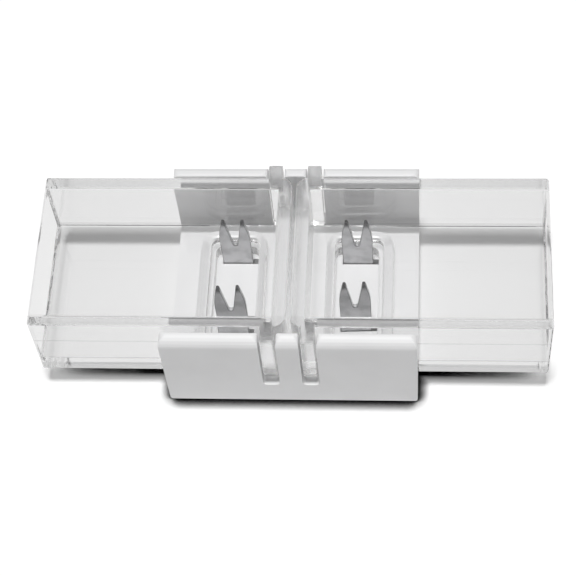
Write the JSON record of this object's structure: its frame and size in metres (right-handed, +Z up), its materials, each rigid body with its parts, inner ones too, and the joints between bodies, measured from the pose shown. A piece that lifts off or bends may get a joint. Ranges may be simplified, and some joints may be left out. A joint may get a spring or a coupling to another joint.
{
  "type": "led strip connector",
  "caption": "Solderless strip-to-strip light strip connector: a white channel base with piercing fork contacts and clear press-down sleeves.",
  "frame": {"origin": "centre of the bounding box's underside, which is the middle of the base's underside", "axes": "+X along the connector, from one strip to the other; +Y across it, from the front contact to the back contact; +Z up, the way the sleeves lift"},
  "size_m": [0.04, 0.0164, 0.0094],
  "materials": {
    "white_plastic": "moulded white plastic with a soft sheen",
    "clear_plastic": "clear moulded plastic, polished",
    "tinned_metal": "tinned stamped sheet, dull"
  },
  "bodies": {
    "base": {"base": "white_plastic", "contact_front": "tinned_metal", "contact_back": "tinned_metal"},
    "left_sleeve": {"left_sleeve": "clear_plastic"},
    "right_sleeve": {"right_sleeve": "clear_plastic"}
  },
  "joints": [
    {"name": "left_sleeve_lift", "type": "slide", "parent": "base", "child": "left_sleeve", "axis": [0, 0, 1], "range_m": [0, 0.0075]},
    {"name": "right_sleeve_lift", "type": "slide", "parent": "base", "child": "right_sleeve", "axis": [0, 0, 1], "range_m": [0, 0.0075]}
  ]
}
